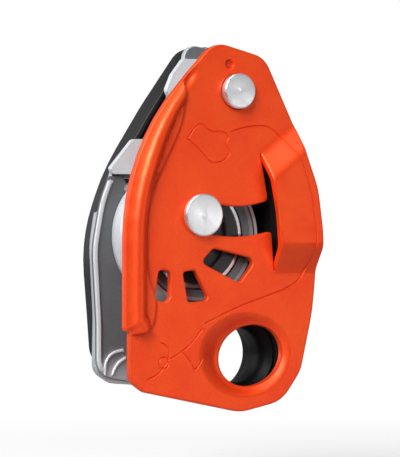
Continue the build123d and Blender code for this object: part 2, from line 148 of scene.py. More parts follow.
def ellipse(centre, long_half, short_half, tilt, spacing=0.5):
    count = max(24, int(2 * math.pi * long_half / spacing))
    a = np.linspace(0, 2 * math.pi, count, endpoint=False)
    t = math.radians(tilt)
    u, v = long_half * np.cos(a), short_half * np.sin(a)
    return np.column_stack([centre[0] + u * math.cos(t) - v * math.sin(t),
                            centre[1] + u * math.sin(t) + v * math.cos(t)])


def arc(centre, radius, start, end, step=2.0):
    """Points of an arc between two angles in degrees, from +X towards +Z."""
    a = np.radians(np.linspace(start, end, max(2, int(abs(end - start) / step))))
    return np.column_stack([centre[0] + radius * np.cos(a), centre[1] + radius * np.sin(a)])


def polar(centre, radius, angle):
    a = math.radians(angle)
    return (centre[0] + radius * math.cos(a), centre[1] + radius * math.sin(a))


def slot_outline(centre, radius, half_width, start, end):
    """Slot along an arc, with round ends."""
    head = polar(centre, radius, end)
    tail = polar(centre, radius, start)
    return np.vstack([
        arc(centre, radius + half_width, start, end),
        arc(head, half_width, end, end + 180, 10)[1:-1],
        arc(centre, radius - half_width, end, start),
        arc(tail, half_width, start + 180, start + 360, 10)[1:-1],
    ])


def gap_to(points, line, closed=False):
    """Distance from each point to a line."""
    line = np.asarray(line, float)
    ends = np.roll(line, -1, axis=0) if closed else line[1:]
    best = np.full(len(points), np.inf)
    for p, q in zip(line, ends):
        d = q - p
        t = np.clip(((points - p) @ d) / max(d @ d, 1e-12), 0, 1)
        away = points - p - t[:, None] * d
        best = np.minimum(best, away[:, 0] ** 2 + away[:, 1] ** 2)
    return np.sqrt(best)


def within(points, loop):
    """Which points lie inside a closed loop."""
    inside = np.zeros(len(points), bool)
    x, z = points[:, 0], points[:, 1]
    for (x0, z0), (x1, z1) in zip(loop, np.roll(loop, -1, axis=0)):
        if z0 == z1:
            continue
        crosses = (z0 > z) != (z1 > z)
        inside ^= crosses & (x < (x1 - x0) * (z - z0) / (z1 - z0) + x0)
    return inside


def depth_inside(points, loop):
    """Distance to the loop, positive inside it and negative outside."""
    gap = gap_to(points, loop, True)
    return np.where(within(points, loop), gap, -gap)


# ---- soft profiles ----
def ease(t):
    t = np.clip(t, 0, 1)
    return t * t * (3 - 2 * t)


def ramp(t, soft):
    """Rises from 0 to 1 while t goes from 0 to 1, straight in the middle and rounded at both ends."""
    def lifted(u):
        u = np.asarray(u, float)
        return np.where(u < -soft, 0, np.where(u > soft, u, (u + soft) ** 2 / (4 * soft)))
    return lifted(t) - lifted(np.asarray(t) - 1)


def longest_run(loop, keep):
    """The kept stretch of a closed loop, in order from one end to the other."""
    kept = loop[keep]
    start = np.argmax(np.hypot(*(kept - np.roll(kept, 1, axis=0)).T))
    return np.roll(kept, -start, axis=0)


def round_over(gap, radius):
    """How far a rounded edge has dropped at a distance from the rim."""
    left = np.clip(radius - gap, 0, radius)
    return radius - np.sqrt(np.maximum(radius ** 2 - left ** 2, 0))


# ---- mesh makers ----
def make_object(name, points, faces, material, sharp=38.0):
    mesh = bpy.data.meshes.new(name)
    mesh.from_pydata((np.asarray(points, float) * MM).tolist(), [], faces)
    mesh.validate()
    mesh.shade_smooth()
    mesh.set_sharp_from_angle(angle=math.radians(sharp))
    piece = bpy.data.objects.new(name, mesh)
    bpy.context.scene.collection.objects.link(piece)
    mesh.materials.append(material)
    return piece


def outward_loops(outer, holes):
    """Outer loop counter-clockwise and holes clockwise, so that the metal is on the left of each."""
    loops = []
    for index, loop in enumerate([outer] + list(holes)):
        x, z = loop[:, 0], loop[:, 1]
        area = np.sum(x * np.roll(z, -1) - np.roll(x, -1) * z)
        keep = (area > 0) == (index == 0)
        loops.append(loop if keep else loop[::-1])
    return loops


def shifted(line, offset, closed):
    """Line moved sideways, to its left."""
    if closed:
        along = np.roll(line, -1, axis=0) - np.roll(line, 1, axis=0)
    else:
        along = np.gradient(line, axis=0)
    along /= np.maximum(np.linalg.norm(along, axis=1), 1e-9)[:, None]
    return line + offset * np.column_stack([-along[:, 1], along[:, 0]])


def formed(name, material, outer, holes, front, back, edge=0.5, back_edge=None, pitch=1.5, lines=(),
           rounds=4, sharp=38.0):
    """Sheet or moulding with a front and a back surface, given as y at each (x, z), and rounded edges.
    lines are (line, offsets): rows of mesh points beside a line, so that a groove or crease stays crisp."""
    back_edge = edge if back_edge is None else back_edge
    widest = max(edge, back_edge)
    loops = outward_loops(outer, holes)
    points, edges, guard = [], [], []

    def add_row(row, closed, constrained):
        start = sum(len(p) for p in points)
        points.append(row)
        if constrained:
            last = len(row) if closed else len(row) - 1
            edges.extend((start + i, start + (i + 1) % len(row)) for i in range(last))

    for loop in loops:
        for k in range(rounds + 1):
            angle = math.pi / 2 * k / rounds
            add_row(shifted(loop, widest * (1 - math.cos(angle)), True), True, k in (0, rounds))
    for line, offsets in lines:
        for offset in offsets:
            add_row(shifted(line, offset, False), False, False)
        guard.append((line, max(abs(o) for o in offsets) + 0.45 * pitch))

    low, high = outer.min(0), outer.max(0)
    row_step = 0.866 * pitch
    rows = []
    for i, z in enumerate(np.arange(low[1], high[1], row_step)):
        across = np.arange(low[0] + (i % 2) * pitch / 2, high[0], pitch)
        rows.append(np.column_stack([across, np.full(len(across), z)]))
    grid = np.vstack(rows)
    grid = grid[within(grid, loops[0])]
    for loop in loops:
        grid = grid[gap_to(grid, loop, True) > widest + 0.45 * pitch]
    for loop in loops[1:]:
        grid = grid[~within(grid, loop)]
    for line, room in guard:
        grid = grid[gap_to(grid, line) > room]
    points.append(grid)

    flat = np.vstack(points)
    found = delaunay_2d_cdt([Vector(p) for p in flat.tolist()], edges, [], 0, 1e-6, False)
    where = np.array([tuple(v) for v in found[0]])
    triangles = np.array([tuple(f) for f in found[2]])
    centres = where[triangles].mean(axis=1)
    keep = within(centres, loops[0])
    for loop in loops[1:]:
        keep &= ~within(centres, loop)
    triangles = triangles[keep]
    a, b, c = (where[triangles[:, k]] for k in range(3))
    turn = (b[:, 0] - a[:, 0]) * (c[:, 1] - a[:, 1]) - (b[:, 1] - a[:, 1]) * (c[:, 0] - a[:, 0])
    triangles[turn < 0] = triangles[turn < 0][:, ::-1]
    triangles = triangles[np.abs(turn) > 1e-9]

    used, triangles = np.unique(triangles, return_inverse=True)
    triangles = triangles.reshape(-1, 3)
    where = where[used]
    rim_gap = np.min([gap_to(where, loop, True) for loop in loops], axis=0)
    x, z = where[:, 0], where[:, 1]
    near = np.column_stack([x, front(where) + round_over(rim_gap, edge), z])
    far = np.column_stack([x, back(where) - round_over(rim_gap, back_edge), z])
    count = len(where)
    directed = {}
    for p, q, r in triangles.tolist():
        for pair in ((p, q), (q, r), (r, p)):
            directed[pair] = True
    rim = [(p, q) for p, q in directed if (q, p) not in directed]
    faces = triangles.tolist()
    faces += [(r + count, q + count, p + count) for p, q, r in triangles.tolist()]
    faces += [(q, p, p + count, q + count) for p, q in rim]
    return make_object(name, np.vstack([near, far]), faces, material, sharp)


def level(y):
    return lambda where: np.full(len(where), float(y))


def turned(name, material, centre, profile, segments=96, sharp=38.0, arc_step=18.0):
    """Solid of revolution about the Y axis through centre.
    profile is a closed list of (radius, y, rounding)."""
    outline = rounded(profile, arc_step)
    outline[:, 0] = np.maximum(outline[:, 0], 0)
    rings = []
    points = []
    for r, y in outline:
        if r < 1e-6:
            rings.append([len(points)] * segments)
            points.append((centre[0], y, centre[1]))
            continue
        rings.append(list(range(len(points), len(points) + segments)))
        for k in range(segments):
            a = 2 * math.pi * k / segments
            points.append((centre[0] + r * math.cos(a), y, centre[1] + r * math.sin(a)))
    faces = []
    area = np.sum(outline[:, 0] * np.roll(outline[:, 1], -1) - np.roll(outline[:, 0], -1) * outline[:, 1])
    for i in range(len(rings)):
        one, two = rings[i], rings[(i + 1) % len(rings)]
        for k in range(segments):
            n = (k + 1) % segments
            corners = [one[k], two[k], two[n], one[n]]
            face = [v for j, v in enumerate(corners) if v != corners[j - 1]]
            if len(set(face)) < 3:
                continue
            faces.append(face if area > 0 else face[::-1])
    return make_object(name, points, faces, material, sharp)


# ---- materials ----
class Shader:
    """A new material with short calls for its nodes."""

    def __init__(self, name, **sockets):
        self.material = bpy.data.materials.new(name)
        self.material.use_nodes = True
        self.tree = self.material.node_tree
        self.surface = self.tree.nodes["Principled BSDF"]
        for socket, value in sockets.items():
            self.surface.inputs[socket.replace("_", " ")].default_value = value
        self.where = self.tree.nodes.new("ShaderNodeTexCoord").outputs["Object"]

    def link(self, value, socket):
        if isinstance(value, bpy.types.NodeSocket):
            self.tree.links.new(value, socket)
        else:
            socket.default_value = value

    def maths(self, operation, a, b=0.0, clamp=False):
        node = self.tree.nodes.new("ShaderNodeMath")
        node.operation = operation
        node.use_clamp = clamp
        self.link(a, node.inputs[0])
        self.link(b, node.inputs[1])
        return node.outputs[0]

    def vector(self, operation, a, b=(0, 0, 0)):
        node = self.tree.nodes.new("ShaderNodeVectorMath")
        node.operation = operation
        self.link(a, node.inputs[0])
        self.link(b, node.inputs[1])
        return node.outputs["Value" if operation == "LENGTH" else "Vector"]

    def noise(self, size_mm, detail=3.0, rough=0.55, where=None, stretch=None):
        """Noise with features of about that size."""
        node = self.tree.nodes.new("ShaderNodeTexNoise")
        node.inputs["Scale"].default_value = 1 / (size_mm * MM)
        node.inputs["Detail"].default_value = detail
        node.inputs["Roughness"].default_value = rough
        place = where or self.where
        if stretch:
            place = self.vector("MULTIPLY", place, stretch)
        self.tree.links.new(place, node.inputs["Vector"])
        return node.outputs["Fac"]

    def between(self, value, low, high, to_low=0.0, to_high=1.0):
        node = self.tree.nodes.new("ShaderNodeMapRange")
        node.interpolation_type = "SMOOTHSTEP"
        self.link(value, node.inputs["Value"])
        for socket, number in zip(("From Min", "From Max", "To Min", "To Max"), (low, high, to_low, to_high)):
            node.inputs[socket].default_value = number
        return node.outputs["Result"]

    def mix(self, amount, one, two):
        node = self.tree.nodes.new("ShaderNodeMix")
        node.data_type = "RGBA"
        self.link(amount, node.inputs["Factor"])
        self.link(one, node.inputs["A"])
        self.link(two, node.inputs["B"])
        return node.outputs["Result"]

    def edges(self, low=0.52, high=0.62):
        """1 on convex edges of the mesh, 0 on flats."""
        node = self.tree.nodes.new("ShaderNodeNewGeometry")
        return self.between(node.outputs["Pointiness"], low, high)

    def radius_from(self, centre):
        """Distance in the plane of the plates from a place given in millimetres."""
        moved = self.vector("SUBTRACT", self.where, (centre[0] * MM, 0, centre[1] * MM))
        return self.vector("LENGTH", self.vector("MULTIPLY", moved, (1, 0, 1)))

    def walls(self):
        """1 on faces that stand along the axles, such as a sheet's cut edge, and 0 on flat faces."""
        facing = self.tree.nodes.new("ShaderNodeSeparateXYZ")
        self.link(self.tree.nodes.new("ShaderNodeNewGeometry").outputs["Normal"], facing.inputs[0])
        return self.between(self.maths("ABSOLUTE", facing.outputs["Y"]), 0.95, 0.6)

    def along(self, axis, start_mm, end_mm):
        """Rises from 0 to 1 between two places along X, Y or Z."""
        place = self.tree.nodes.new("ShaderNodeSeparateXYZ")
        self.link(self.where, place.inputs[0])
        return self.between(place.outputs[axis], start_mm * MM, end_mm * MM)

    def set(self, socket, value):
        self.link(value, self.surface.inputs[socket])

    def bump(self, height, strength, depth_mm):
        node = self.tree.nodes.new("ShaderNodeBump")
        node.inputs["Strength"].default_value = strength
        node.inputs["Distance"].default_value = depth_mm * MM
        self.link(height, node.inputs["Height"])
        self.link(node.outputs["Normal"], self.surface.inputs["Normal"])


def rgb(r, g, b):
    """Linear colour from 0 to 255 screen values."""
    def linear(v):
        v /= 255
        return v / 12.92 if v <= 0.04045 else ((v + 0.055) / 1.055) ** 2.4
    return (linear(r), linear(g), linear(b), 1.0)


def orange_finish():
    s = Shader("orange_anodised", Metallic=0.5, Specular_IOR_Level=0.5)
    cloud = s.between(s.noise(14, 2), 0.35, 0.65)
    grain = s.between(s.noise(0.3, 2, 0.6), 0.3, 0.7)
    base = s.mix(cloud, rgb(243, 70, 12), rgb(247, 80, 18))
    base = s.mix(s.maths("MULTIPLY", grain, 0.35), base, rgb(212, 48, 18))
    # Painted shade: concave creases and grooves are darkened towards deep red.
    base = s.mix(s.maths("MULTIPLY", s.edges(0.49, 0.42), 0.7), base, rgb(150, 22, 10))
    # Convex edges lighter: edge wear, and a painted highlight where light catches the rounded rims.
    s.set("Base Color", s.mix(s.maths("MULTIPLY", s.edges(0.54, 0.66), 0.2), base, rgb(244, 118, 84)))
    s.set("Roughness", s.between(s.noise(1.1, 4), 0.3, 0.7, 0.36, 0.46))
    s.bump(s.noise(0.16, 3, 0.7), 0.22, 0.02)
    return s.material


def turned_steel(name, centre, colour=(244, 244, 246), ring_mm=0.09, metallic=0.9, shade_rings=()):
    """Machined face with fine rings round its own centre. The last argument gives (radius, colour) rings
    outwards: painted shade and painted highlight that stand in for turned steps.
    """
    s = Shader(name, Metallic=metallic, Anisotropic=0.55, Anisotropic_Rotation=0.25)
    tangent = s.tree.nodes.new("ShaderNodeTangent")
    tangent.direction_type = "RADIAL"
    tangent.axis = "Y"
    s.link(tangent.outputs[0], s.surface.inputs["Tangent"])
    rings = s.tree.nodes.new("ShaderNodeTexNoise")
    rings.noise_dimensions = "1D"
    rings.inputs["Scale"].default_value = 1 / (ring_mm * MM)
    rings.inputs["Detail"].default_value = 3
    s.link(s.radius_from(centre), rings.inputs["W"])
    light = rgb(*colour)
    for radius, shade in shade_rings:
        out = s.between(s.radius_from(centre), (radius - 0.08) * MM, (radius + 0.08) * MM)
        light = s.mix(out, light, rgb(*shade))
    dark = s.mix(0.16, light, (0, 0, 0, 1))
    s.set("Base Color", s.mix(s.between(rings.outputs["Fac"], 0.3, 0.7), dark, light))
    s.set("Roughness", s.between(s.noise(0.6, 3), 0.3, 0.7, 0.3, 0.4))
    s.bump(rings.outputs["Fac"], 0.25, 0.01)
    return s.material


def brushed_steel(name, colour, low=0.26, high=0.38, metallic=1.0, wall=None, lighter_zones=(), grain=0.12):
    """Sheet with a drawn grain, faint scuffs and lighter edges. wall is the colour of faces that stand along
    the axles, such as cut edges; on the grey side plate it is a painted highlight of its lit left edge. The
    last argument is a list
    of (axis, start, end, colour): colour that a place takes past a point along an axis, mostly painted
    highlights and sheen."""
    s = Shader(name, Metallic=metallic)
    lines = s.noise(grain, 4, 0.65, stretch=(0.06, 1, 1))
    cloud = s.between(s.noise(7, 3), 0.35, 0.65)
    base = s.mix(s.between(lines, 0.3, 0.7), rgb(*[v * 0.9 for v in colour]), rgb(*colour))
    base = s.mix(s.maths("MULTIPLY", cloud, 0.25), base, rgb(*[v * 0.82 for v in colour]))
    if wall:
        base = s.mix(s.walls(), base, rgb(*wall))
    for axis, start, end, shade in lighter_zones:
        base = s.mix(s.along(axis, start, end), base, rgb(*shade))
    edge_tone = rgb(*[min(255, v * 1.2) for v in colour])
    s.set("Base Color", s.mix(s.maths("MULTIPLY", s.edges(), 0.3), base, edge_tone))
    s.set("Roughness", s.between(lines, 0.25, 0.75, low, high))
    s.bump(lines, 0.18, 0.012)
    return s.material


def moulded_black(name, colour, low=0.42, high=0.55, grain_mm=0.35, gloss=0.35):
    """Fibre-filled nylon with a fine spark-eroded texture and paler rubbed edges."""
    s = Shader(name, Specular_IOR_Level=gloss)
    grain = s.noise(grain_mm, 4, 0.65)
    cloud = s.between(s.noise(9, 3), 0.35, 0.65)
    base = s.mix(cloud, rgb(*colour), rgb(*[v * 1.25 for v in colour]))
    s.set("Base Color", s.mix(s.maths("MULTIPLY", s.edges(), 0.4), base, rgb(*[v * 2.2 for v in colour])))
    s.set("Roughness", s.between(grain, 0.3, 0.7, low, high))
    s.bump(grain, 0.3, 0.03)
    return s.material


def bronze_finish():
    s = Shader("bronze_bush", Metallic=1.0)
    pores = s.between(s.noise(0.12, 3, 0.7), 0.35, 0.6)
    s.set("Base Color", s.mix(pores, rgb(120, 84, 48), rgb(186, 140, 84)))
    s.set("Roughness", s.between(pores, 0, 1, 0.5, 0.34))
    s.bump(pores, 0.2, 0.015)
    return s.material


orange = orange_finish()
head_top = turned_steel("turned_head_top", pivot)
head_cam = turned_steel("turned_head_cam", cam_axis)
hinge_steel = turned_steel("turned_head_hinge", hinge, (176, 176, 180))
wheel_metal = turned_steel("wheel_steel", wheel_axis, (214, 222, 226), 0.16, 0.35)
# Wheel front flange: painted shade and painted highlight in rings by radius. It is dark where the flange lies
# in shade behind the plate, with a dark line and a bright ring for the shade and highlight of turned steps.
flange_light_and_shade = turned_steel("wheel_face_painted_light", wheel_axis, (58, 60, 62), 0.16, 0.5, [
    (16.4, (112, 115, 118)), (18.6, (150, 153, 156)), (19.6, (60, 61, 63)), (20.1, (206, 210, 213)),
])
# Grey side plate: its cut-edge colour is a painted highlight where the light falls on its left-facing edges.
# The lighter strip left of X -41 is a painted highlight along its lit left edge, and the lighter bottom below
# Z -2 is a painted sheen.
grey_sheet = brushed_steel("grey_anodised_sheet", (104, 108, 111), 0.42, 0.52, 0.25, (178, 181, 184), [
    ("X", -41.0, -42.4, (168, 171, 174)), ("Z", -2.0, -9.0, (160, 163, 166)),
])
# Wear insert: lighter towards the bottom below Z 2, and the tops of its raised rim and ribs are a painted
# highlight.
wear_steel = brushed_steel("wear_steel", (98, 102, 105), 0.42, 0.52, 0.2, None, [
    ("Z", 2.0, -8.0, (150, 153, 156)), ("Y", insert_front - 0.18, insert_front - 0.42, (200, 204, 207)),
])
tab_steel = brushed_steel("tab_steel", (198, 206, 210), 0.36, 0.46, 0.2)
cam_steel = brushed_steel("cam_steel", (48, 49, 52), 0.34, 0.46, 0.4, (170, 172, 175))
lever_steel = brushed_steel("lever_steel", (150, 150, 153), 0.34, 0.46, 0.8)
pin_steel = brushed_steel("pin_steel", (186, 186, 190), 0.26, 0.36, 0.8)
spring_steel = brushed_steel("spring_wire", (150, 150, 156), 0.24, 0.34)
black_nylon = moulded_black("black_nylon", (12, 12, 13), 0.42, 0.52)
black_bush = moulded_black("black_bush", (5, 5, 6), 0.42, 0.52, 0.2, 0.1)
bronze = bronze_finish()


def finish_cad(material, *nodes):
    """Gives CAD pieces that stay as they are their finish."""
    for node in nodes:
        mesh = frame["nodes"][node].data
        mesh.materials.clear()
        mesh.materials.append(material)


def stand_for(piece, node):
    """The piece takes a CAD node's place and moves with its body."""
    body = next(b for b, nodes in frame["record"]["behaviour"]["bodies"].items() if node in nodes)
    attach(piece, body)
    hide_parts(node)
    return piece


# ---- orange side plate ----
plate_corners = [
    (-13.2, 95.9, 8), (4.5, 91.6, 8), (15.2, 70.6, 12), (16.6, 62.5, 10), (20.9, 51.5, 25), (22.7, 38.5, 30),
    (23.1, 26.0, 40), (21.9, 13.5, 60), (17.6, -4.8, 11), (10.8, -14.0, 11), (-4.0, -17.0, 14),
    (-37.8, -9.8, 4), (-42.6, -6.4, 4), (-42.6, 8.6, 0.6), (-44.4, 8.6, 0.6), (-44.4, 62.7, 68),
]
bridge_height = 5.0
upper_crease = np.array([3.0, 62.0])
crease_angle = 37.5
upper_rise = 7.2
lower_crease_z = 26.4
lower_rise = 7.2
bridge_edge = np.array([(3.0, 62.0), (4.6, 54.2), (6.4, 44.5), (7.0, 38.5), (7.4, 33.6), (7.9, 26.4)])
shear_gap = 0.1
slot_radius = math.dist(pivot, cam_axis)
slot_half_width = 4.6
lip_corners = [
    (-60, 7.0), (-41.6, 7.2), (-36.6, 7.8), (-33.7, 10.6), (-33.3, 19.6), (-36.2, 23.6), (-36.8, 37.0),
    (-35.6, 49.0), (-28.3, 62.7), (-24.0, 71.5), (-23.2, 82.0), (-26.0, 90.0), (-60, 92),
]
lip_height = 0.4
bead_height = 3.0
dish_centre = (-2.6, 0.5)
dish_half = (16.2, 12.8)
hole_centre = (0.9, 0.1)
hole_half = (10.7, 9.2)
hole_tilt = 20.0
rope_line = [
    (-7.5, 68.6), (-3.0, 70.0), (2.2, 70.7), (6.0, 70.4), (9.8, 67.8),
    (14.9, 60.0), (18.2, 50.8), (19.9, 40.2),
    (20.3, 34.8), (19.3, 26.6), (15.4, 21.6), (2.4, 17.5), (-4.8, 15.4), (-16.6, 10.4),
]


def shear_side(z, side):
    """x of the sheared line between the flat part and the bridge, on one side of the cut."""
    order = np.argsort(bridge_edge[:, 1])
    return np.interp(z, bridge_edge[order, 1], bridge_edge[order, 0]) + side * shear_gap / 2


def slot_opening():
    """The curved slot that the axle head passes, open into the cut beside the bridge."""
    top, bottom = bridge_edge[0], bridge_edge[-1]
    right = [(shear_side(z, 1), z) for z in np.linspace(top[1], bottom[1], 60)]
    inner, outer = slot_radius - slot_half_width, slot_radius + slot_half_width
    left_end = -108.2
    corner_low = (float(shear_side(38.0, -1)), 38.0)
    corner_high = (float(shear_side(47.6, -1)), 47.6)
    low_angle = math.degrees(math.atan2(corner_low[1] - pivot[1], corner_low[0] - pivot[0]))
    high_angle = math.degrees(math.atan2(corner_high[1] - pivot[1], corner_high[0] - pivot[0]))
    up_low = [(shear_side(z, -1), z) for z in np.linspace(bottom[1], corner_low[1] - 1.4, 18)]
    lower = arc(pivot, outer, low_angle - 2.2, left_end)
    end = arc(polar(pivot, slot_radius, left_end), slot_half_width, left_end, left_end - 180, 10)[1:-1]
    upper = arc(pivot, inner, left_end, high_angle - 5.0)
    up_high = [(shear_side(z, -1), z) for z in np.linspace(corner_high[1] + 3.0, top[1], 24)]
    bend_low = smooth([up_low[-1], corner_low, lower[0]], 0.4)[1:-1]
    bend_high = smooth([upper[-1], corner_high, up_high[0]], 0.4)[1:-1]
    loop = np.vstack([right, up_low, bend_low, lower, end, upper, bend_high, up_high])
    return loop


plate_outline = even(rounded(plate_corners, 6), 0.55)
lip_loop = smooth(lip_corners, 0.8, True)
hole_loop = ellipse(hole_centre, *hole_half, hole_tilt, 0.45)
windows = [
    [(-13.6, 33.1, 1.6), (1.6, 29.7, 1.8), (-4.4, 22.4, 1.8), (-18.0, 28.9, 1.2)],
    [(-24.4, 26.0, 1.0), (-20.2, 26.6, 1.2), (-15.1, 17.4, 1.2), (-22.5, 16.6, 1.2)],
    [(-32.6, 26.7, 1.2), (-28.6, 26.4, 1.2), (-28.8, 18.0, 1.6), (-30.6, 16.8, 1.0), (-34.0, 18.0, 1.0)],
]


def bridge_rise(where):
    """Height of the strap above the sheet, on its own side of the cut."""
    x, z = where[:, 0], where[:, 1]
    t = math.radians(crease_angle)
    below = (x - upper_crease[0]) * math.sin(t) - (z - upper_crease[1]) * math.cos(t)
    rise = ramp(below / upper_rise, 0.16) * ramp((z - lower_crease_z) / lower_rise, 0.22)
    return np.where(x > shear_side(z, 0), bridge_height * rise, 0)


def lip_rise(where):
    """The lip along the left edge: a low step, and on it a rounded bead."""
    z = where[:, 1]
    inside = depth_inside(where, lip_loop)
    step = lip_height * ramp(inside / 0.5, 0.3)
    taper = ease((z - 56) / 30)
    half = 3.3 - 1.5 * taper
    gap = gap_to(where, plate_outline, True)
    across = np.abs((gap - half - 0.55) / half)
    bead = np.maximum(1 - np.clip(across, 0, 1) ** 2.4, 0)
    height = bead_height * (1 - 0.45 * taper) * ease((89.0 - z) / 5)
    left = where[:, 0] < -14
    return step + np.where(left, bead * height, 0) * ramp(inside / 0.7, 0.3)


def dish_fall(where):
    """Depth of the dish round the attachment hole: deep on the left, shallow on the right."""
    local = where - np.array(dish_centre)
    outer = np.hypot(local[:, 0] / dish_half[0], local[:, 1] / dish_half[1])
    t = math.radians(hole_tilt)
    u = where[:, 0] - hole_centre[0]
    v = where[:, 1] - hole_centre[1]
    inner = np.hypot((u * math.cos(t) + v * math.sin(t)) / hole_half[0],
                     (v * math.cos(t) - u * math.sin(t)) / hole_half[1])
    share = np.clip((inner - 1) / np.maximum((inner - 1) + np.maximum(1 - outer, 0), 1e-6), 0, 1)
    depth = 2.2 - 1.3 * u / np.maximum(np.hypot(u, v), 1e-6)
    fall = depth * (1 - ramp((share - 0.35) / 0.6, 0.2))
    lip = 0.5 * round_over(np.clip(inner - 1, 0, 1) * 10, 1.2)
    return np.where(outer < 1, fall + lip, 0)


def dimple_fall(where):
    centre = (pivot[0] - 2.4, pivot[1] + 8.2)
    r = np.hypot(where[:, 0] - centre[0], where[:, 1] - centre[1])
    return 0.9 * (1 - ease((r - 1.2) / 0.5))


def pocket_fall(where):
    """Pinched hollow where the bead dies out below the top of the plate."""
    centre, angle = (-22.0, 84.4), math.radians(56)
    u = (where[:, 0] - centre[0]) * math.cos(angle) + (where[:, 1] - centre[1]) * math.sin(angle)
    v = (where[:, 1] - centre[1]) * math.cos(angle) - (where[:, 0] - centre[0]) * math.sin(angle)
    return 1.1 * np.exp(-(u / 3.6) ** 2 - (v / 1.3) ** 2)


def groove_fall(where, lines, depth=0.3, half=0.34):
    gap = np.min([gap_to(where, line) for line in lines], axis=0)
    return depth * (1 - ease((gap - 0.08) / (half - 0.08)))


def hand_mark():
    """Plain mitten outline beside the braking end of the rope line."""
    return [
        smooth([(-22.8, 66.2), (-18.6, 71.8), (-14.8, 68.2), (-10.4, 68.8), (-8.2, 67.0), (-9.8, 65.2),
                (-7.6, 62.4), (-9.6, 59.8), (-14.6, 58.6), (-18.4, 63.0), (-22.8, 66.2)], 0.45),
    ]


def climber_mark():
    """Plain stick figure beside the loaded end of the rope line."""
    head = ellipse((-31.0, -1.2), 1.7, 1.7, 0, 0.4)
    return [
        np.vstack([head, head[:1]]),
        smooth([(-29.4, -0.4), (-24.6, 2.0), (-21.0, 4.8), (-17.8, 8.6)], 0.45),
        smooth([(-24.6, 2.0), (-21.6, -1.2), (-20.4, -4.2), (-17.6, -0.6)], 0.45),
        smooth([(-29.4, -0.4), (-29.0, 3.4), (-31.8, 4.8)], 0.45),
        smooth([(-29.4, -0.4), (-32.6, -4.6), (-36.6, -6.0)], 0.45),
    ]


def crease_rows():
    """Lines of mesh points along the bends of the bridge, the lip and the dish."""
    t = math.radians(crease_angle)
    far = upper_crease + 14.5 * np.array([math.cos(t), math.sin(t)])
    upper = even([upper_crease + 0.4 * np.array([math.cos(t), math.sin(t)]), far], 0.6, False)
    lower = even([(8.6, lower_crease_z), (22.3, lower_crease_z)], 0.6, False)
    clear = within(lip_loop, plate_outline) & (gap_to(lip_loop, plate_outline, True) > 1.6)
    lip = longest_run(lip_loop, clear)
    dimple = circle((pivot[0] - 2.4, pivot[1] + 8.2), 1.45, 0.35)
    return [
        (upper, (-0.9, 0, 0.9)),
        (lower, (-0.9, 0, 0.9)),
        (lip, (-0.1, 0.25, 0.6)),
        (np.vstack([dimple, dimple[:1]]), (-0.25, 0.05, 0.3)),
    ]


def orange_plate():
    grooves = [smooth(rope_line, 0.45)] + hand_mark() + climber_mark()

    def front(where):
        height = bridge_rise(where) + lip_rise(where)
        fall = dish_fall(where) + dimple_fall(where) + pocket_fall(where) + groove_fall(where, grooves)
        return sheet_front - height + fall

    def back(where):
        height = bridge_rise(where) + 0.9 * lip_rise(where)
        return sheet_back - height + dish_fall(where)

    bore = circle(pivot, (node_box("side_plate_bush")[1].x - node_box("side_plate_bush")[0].x) / 2, 0.45)
    holes = [slot_opening(), hole_loop, bore] + [even(rounded(w), 0.4) for w in windows]
    rows = [(g, (-0.3, -0.1, 0.1, 0.3)) for g in grooves] + crease_rows()
    piece = formed("orange_side_plate", orange, plate_outline, holes, front, back, 0.5, 0.5, 0.55, rows)
    return stand_for(piece, "moving_side_plate")


orange_plate()


# ---- axle heads ----
def pivot_axle():
    low, high = node_box("plate_pivot_axle")
    head = (high.x - low.x) / 2
    return stand_for(turned("plate_pivot_axle_detail", head_top, pivot, [
        (0, low.y + 0.05, 0), (0.7, low.y + 0.04, 0), (1.0, low.y, 0.1), (head, low.y, 0.5),
        (head, sheet_front - 0.3, 0.25), (4.0, sheet_front - 0.3, 0), (4.0, high.y - 0.8, 0),
        (5.4, high.y - 0.8, 0), (4.8, high.y, 0.5), (0, high.y, 0),
    ]), "plate_pivot_axle")


def cam_axle():
    low, high = node_box("cam_axle")
    head = (high.x - low.x) / 2
    return stand_for(turned("cam_axle_detail", head_cam, cam_axis, [
        (0, low.y + 0.05, 0), (0.8, low.y + 0.04, 0), (1.1, low.y, 0.1), (head, low.y, 0.55),
        (head, low.y + 1.9, 0.3), (3.6, low.y + 1.9, 0),
        (3.6, sheet_back + 0.6, 0), (5.6, sheet_back + 0.6, 0.2),
        (5.6, sheet_back + 1.6, 0.2), (4.0, sheet_back + 1.6, 0), (4.0, high.y, 0.3), (0, high.y, 0),
    ]), "cam_axle")


pivot_axle()
cam_axle()


# ---- bush in the attachment hole ----
def bush():
    low, high = node_box("attachment_bush")
    outer = (high.x - low.x) / 2
    return stand_for(turned("attachment_bush_detail", black_bush, throat, [
        (outer, low.y, 0.3), (outer, high.y, 0.3), (outer - 0.5, high.y, 0.2), (outer - 1.3, high.y - 3.4, 6),
        (9.6, 5.0, 6), (8.4, 2.5, 4), (8.4, -2.5, 4), (9.1, -4.4, 4), (outer - 1.6, low.y + 0.8, 2),
        (outer - 1.0, low.y, 0.3),
    ], 128), "attachment_bush")


bush()


# ---- fixed side plate ----
rivet_radius = 1.5
countersink = 1.5
guard_screws = [(13.2, 60.6), (17.4, 31.0), (-11.6, 14.6), (15.4, 0.6)]
insert_rivets = [(-27.0, 9.0), (-20.4, -3.6), (-31.6, 51.4)]
guide_rivets = [(-17.6, 69.6), (-27.4, 61.0)]
fixed_corners = [
    (-11.0, 96.6, 4), (4.3, 94.5, 9), (16.0, 70.0, 30), (22.0, 48.0, 30), (22.0, 16.0, 30), (17.5, -6.5, 12),
    (9.0, -17.4, 10), (-7.0, -15.6, 30), (-26.0, -9.3, 40), (-37.2, -8.3, 5),
    (-43.0, -4.8, 5), (-42.6, 12.0, 60),
    (-43.9, 34.0, 30), (-42.2, 44.1, 0.3), (-41.2, 44.1, 0), (-36.6, 57.0, 1.5), (-30.2, 65.4, 2),
    (-25.2, 65.4, 3), (-20.2, 74.2, 20), (-16.8, 79.6, 3), (-17.4, 83.0, 2), (-11.6, 91.4, 2),
]


